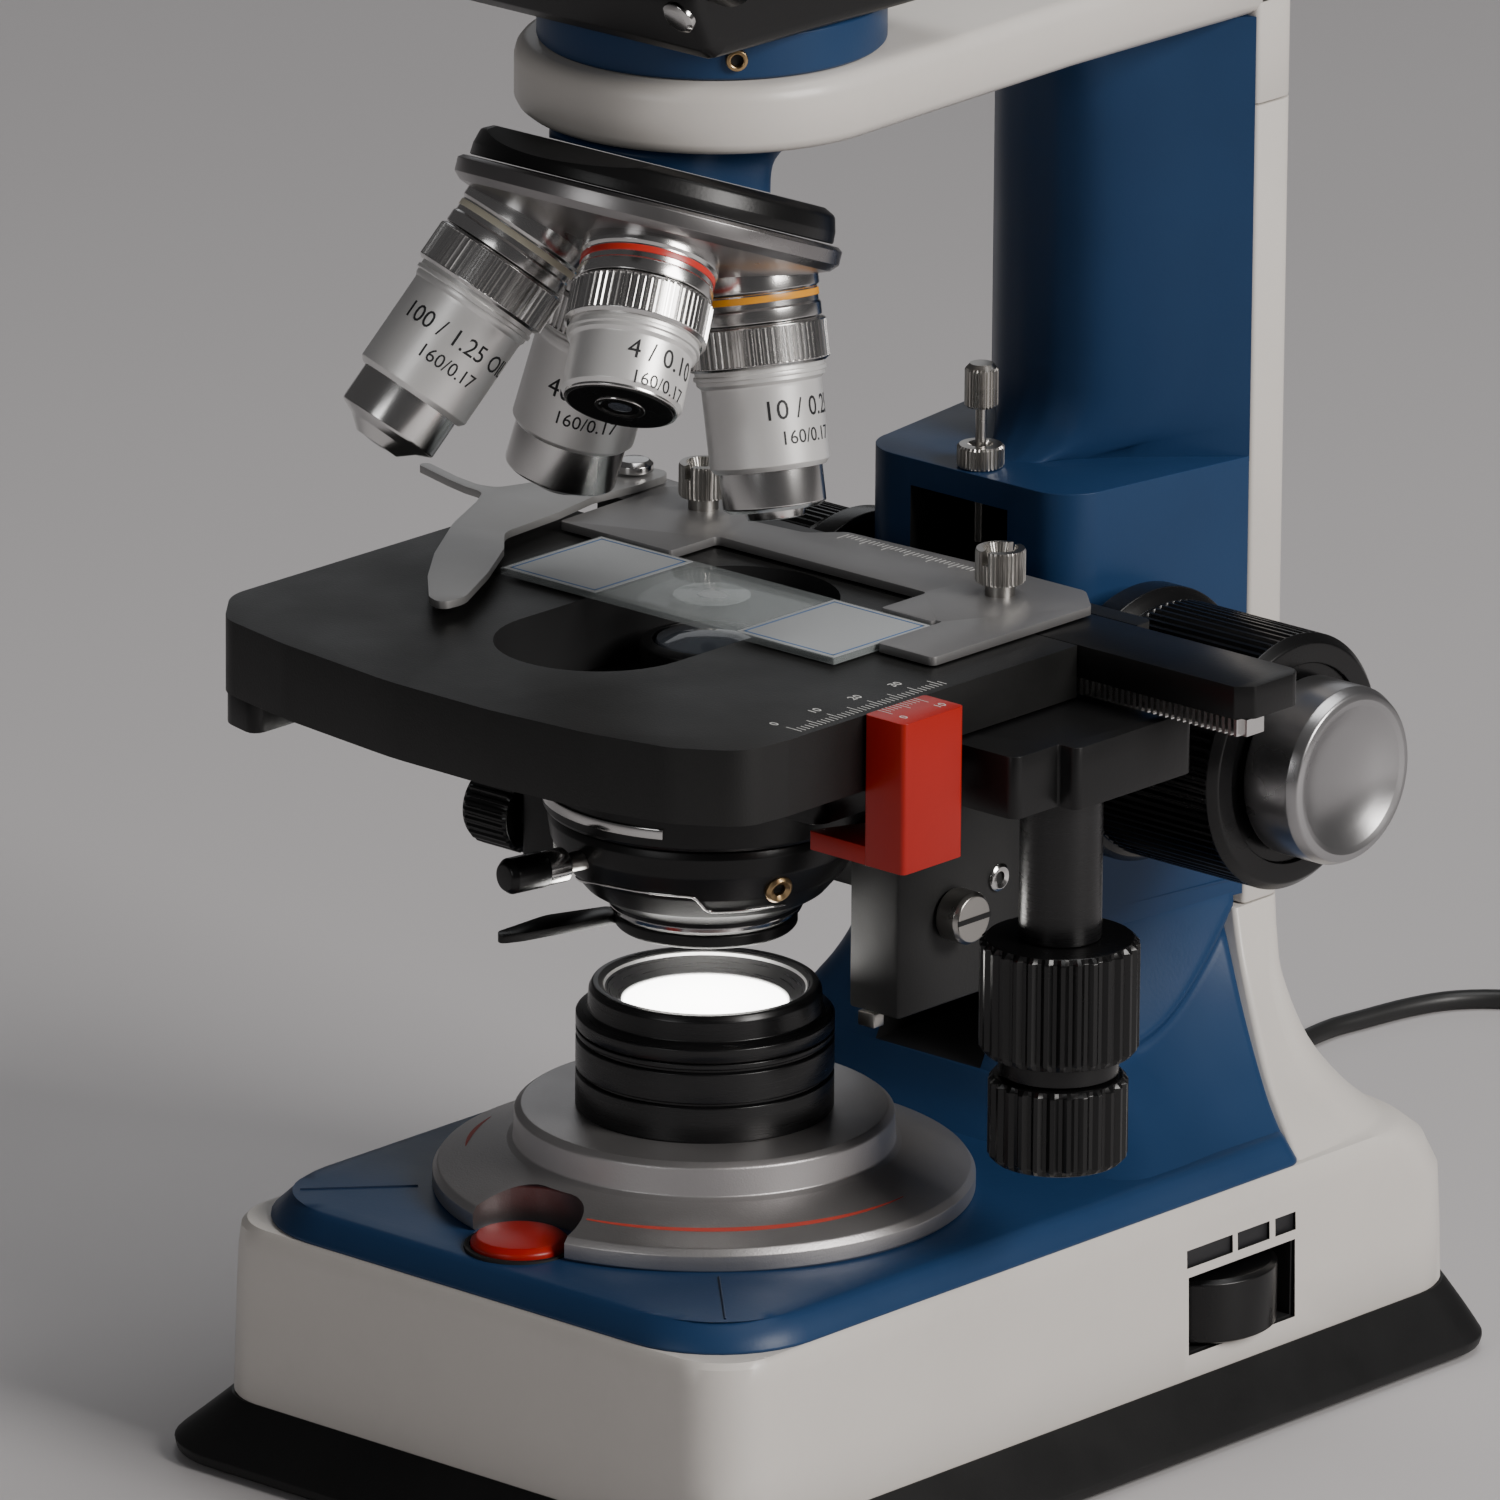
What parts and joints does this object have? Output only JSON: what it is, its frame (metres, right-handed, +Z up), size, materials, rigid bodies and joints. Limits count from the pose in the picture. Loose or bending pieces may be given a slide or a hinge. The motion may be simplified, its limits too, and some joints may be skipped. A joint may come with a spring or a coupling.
{
  "type": "compound microscope",
  "caption": "Compound light microscope with inclined eyetubes, turning nosepiece, geared two-way stage with slide clip, condenser, lamp base and black supply lead.",
  "frame": {"origin": "where the optical axis meets the surface the microscope stands on, on the underside of the bottom cover", "axes": "+Z up along the optical axis, +Y from the optical axis to the arm at the back, +X to the user's right"},
  "size_m": [0.1826, 0.4506, 0.3318],
  "materials": {
    "white_paint": "semi-gloss",
    "blue_paint": "semi-gloss",
    "black_plastic": "satin moulded plastic",
    "black_paint": "fine matt texture",
    "satin_metal": "satin anodised",
    "chrome_metal": "polished",
    "plate_metal": "satin",
    "brass_metal": "oiled",
    "red_plastic": "gloss",
    "lens_glass": "clear",
    "slide_glass": "clear",
    "rubber_black": "matt",
    "cord_jacket": "matt vinyl"
  },
  "bodies": {
    "frame": {"bottom_cover": "rubber_black", "base_skirt": "black_plastic", "base_shell": "white_paint", "base_panel": "blue_paint", "column": "blue_paint", "rear_spine": "white_paint", "arm_cap": "white_paint", "nosepiece_boss": "blue_paint", "turret_cap": "black_paint", "head_ring": "blue_paint", "head_set_screw": "brass_metal", "lamp_flange": "satin_metal", "lamp_collar": "satin_metal", "field_lens": "lens_glass", "dc_jack": "black_plastic", "stop_nut": "chrome_metal", "cord_lead": "cord_jacket", "cord_coil": "cord_jacket", "dc_plug": "cord_jacket", "wall_adapter": "black_plastic"},
    "turret": {"turret_plate": "satin_metal", "objective_10x": "satin_metal", "objective_4x": "satin_metal", "objective_100x": "satin_metal", "objective_40x": "satin_metal"},
    "head": {"head_body": "black_paint"},
    "prism_right": {"prism_housing_right": "black_paint", "eyepiece_right": "rubber_black"},
    "prism_left": {"prism_housing_left": "black_paint", "eyepiece_left": "rubber_black"},
    "diopter": {"diopter_ring": "black_plastic"},
    "field_focus": {"field_ring": "satin_metal"},
    "button": {"power_button": "red_plastic"},
    "dimmer": {"dimmer_wheel": "black_plastic"},
    "stop": {"stop_screw": "chrome_metal"},
    "coarse": {"coarse_knob_right": "black_plastic", "coarse_knob_left": "black_plastic"},
    "fine": {"fine_knob_right": "satin_metal", "fine_knob_left": "satin_metal"},
    "carriage": {"stage_bracket": "black_paint", "stage_base": "black_paint", "vernier_block": "red_plastic"},
    "table": {"stage_top": "black_paint"},
    "y_control": {"y_knob": "black_plastic"},
    "x_control": {"x_knob": "black_plastic"},
    "slide_bar": {"x_bar": "black_paint", "x_rack": "chrome_metal", "slide_holder": "plate_metal", "thumb_screw_right": "chrome_metal", "thumb_screw_left": "chrome_metal", "specimen_slide": "slide_glass", "finger_screw": "chrome_metal"},
    "finger": {"slide_finger": "plate_metal"},
    "condenser": {"condenser_holder": "black_paint", "condenser_body": "black_paint", "condenser_lens": "lens_glass"},
    "condenser_turn": {"condenser_knob": "black_plastic"},
    "clamp": {"clamp_screw": "chrome_metal"},
    "iris": {"iris_lever": "black_plastic"},
    "filter": {"filter_carrier": "black_paint"}
  },
  "joints": [
    {"name": "stage_lift", "type": "slide", "parent": "frame", "child": "carriage", "axis": [0, 0, 1], "range_m": [-0.006, 0.01]},
    {"name": "coarse_turn", "type": "hinge", "parent": "frame", "child": "coarse", "pos_m": [0, 0.075, 0.1195], "axis": [1, 0, 0], "range_deg": [-120, 120]},
    {"name": "fine_turn", "type": "hinge", "parent": "frame", "child": "fine", "pos_m": [0, 0.075, 0.1195], "axis": [1, 0, 0], "continuous": true},
    {"name": "stage_y", "type": "slide", "parent": "carriage", "child": "table", "axis": [0, 1, 0], "range_m": [-0.01, 0.01]},
    {"name": "y_turn", "type": "hinge", "parent": "carriage", "child": "y_control", "pos_m": [0.068, 0.013, 0.09], "axis": [0, 0, 1], "range_deg": [-100, 100]},
    {"name": "stage_x", "type": "slide", "parent": "table", "child": "slide_bar", "axis": [1, 0, 0], "range_m": [-0.012, 0.012]},
    {"name": "x_turn", "type": "hinge", "parent": "carriage", "child": "x_control", "pos_m": [0.068, 0.013, 0.07], "axis": [0, 0, 1], "range_deg": [-120, 120]},
    {"name": "finger_swing", "type": "hinge", "parent": "slide_bar", "child": "finger", "pos_m": [-0.0524, 0.039, 0.1535], "axis": [0, 0, -1], "range_deg": [0, 25], "stiffness_Nm_per_rad": 0.05, "springref_deg": -5.73},
    {"name": "turret_turn", "type": "hinge", "parent": "frame", "child": "turret", "pos_m": [0, 0, 0.2634], "axis": [0, -0.3518, -0.9361], "continuous": true},
    {"name": "head_turn", "type": "hinge", "parent": "frame", "child": "head", "pos_m": [0, 0, 0.2575], "axis": [0, 0, 1], "continuous": true},
    {"name": "eyetube_left", "type": "hinge", "parent": "head", "child": "prism_left", "pos_m": [0, -0.032, 0.283], "axis": [0, -0.866, 0.5], "range_deg": [-10, 12]},
    {"name": "eyetube_right", "type": "hinge", "parent": "head", "child": "prism_right", "pos_m": [0, -0.032, 0.283], "axis": [0, -0.866, 0.5], "range_deg": [-12, 10]},
    {"name": "diopter_turn", "type": "hinge", "parent": "prism_left", "child": "diopter", "pos_m": [-0.031, -0.032, 0.283], "axis": [0, -0.866, 0.5], "range_deg": [-150, 150]},
    {"name": "field_turn", "type": "hinge", "parent": "frame", "child": "field_focus", "pos_m": [0, 0, 0.079], "axis": [0, 0, 1], "range_deg": [-180, 180]},
    {"name": "button_press", "type": "slide", "parent": "frame", "child": "button", "axis": [0, 0, -1], "range_m": [0, 0.0016], "stiffness_N_per_m": 400, "springref_m": -0.001},
    {"name": "dimmer_turn", "type": "hinge", "parent": "frame", "child": "dimmer", "pos_m": [0.0475, 0.072, 0.0225], "axis": [0, 0, 1], "range_deg": [-140, 130]},
    {"name": "stop_turn", "type": "hinge", "parent": "frame", "child": "stop", "pos_m": [-0.0002, 0.0696, 0.17], "axis": [0, 0, 1], "continuous": true},
    {"name": "condenser_lift", "type": "slide", "parent": "carriage", "child": "condenser", "axis": [0, 0, 1], "range_m": [-0.0038, 0.001]},
    {"name": "condenser_knob_turn", "type": "hinge", "parent": "condenser", "child": "condenser_turn", "pos_m": [-0.04, 0, 0.104], "axis": [1, 0, 0], "range_deg": [-90, 90]},
    {"name": "clamp_turn", "type": "hinge", "parent": "condenser", "child": "clamp", "pos_m": [0.031, 0.0275, 0.098], "axis": [1, 0, 0], "range_deg": [0, 180]},
    {"name": "iris_swing", "type": "hinge", "parent": "condenser", "child": "iris", "pos_m": [0, 0, 0.11], "axis": [0, 0, 1], "range_deg": [-25, 45]},
    {"name": "filter_swing", "type": "hinge", "parent": "condenser", "child": "filter", "pos_m": [0.0165, 0, 0.0955], "axis": [0, 0, 1], "range_deg": [0, 60]}
  ],
  "couplings": [
    {"joint": "coarse_turn", "follows": "stage_lift", "rad_per_m": -200},
    {"joint": "y_turn", "follows": "stage_y", "rad_per_m": -167},
    {"joint": "x_turn", "follows": "stage_x", "rad_per_m": 167},
    {"joint": "eyetube_right", "follows": "eyetube_left", "ratio": -1}
  ]
}
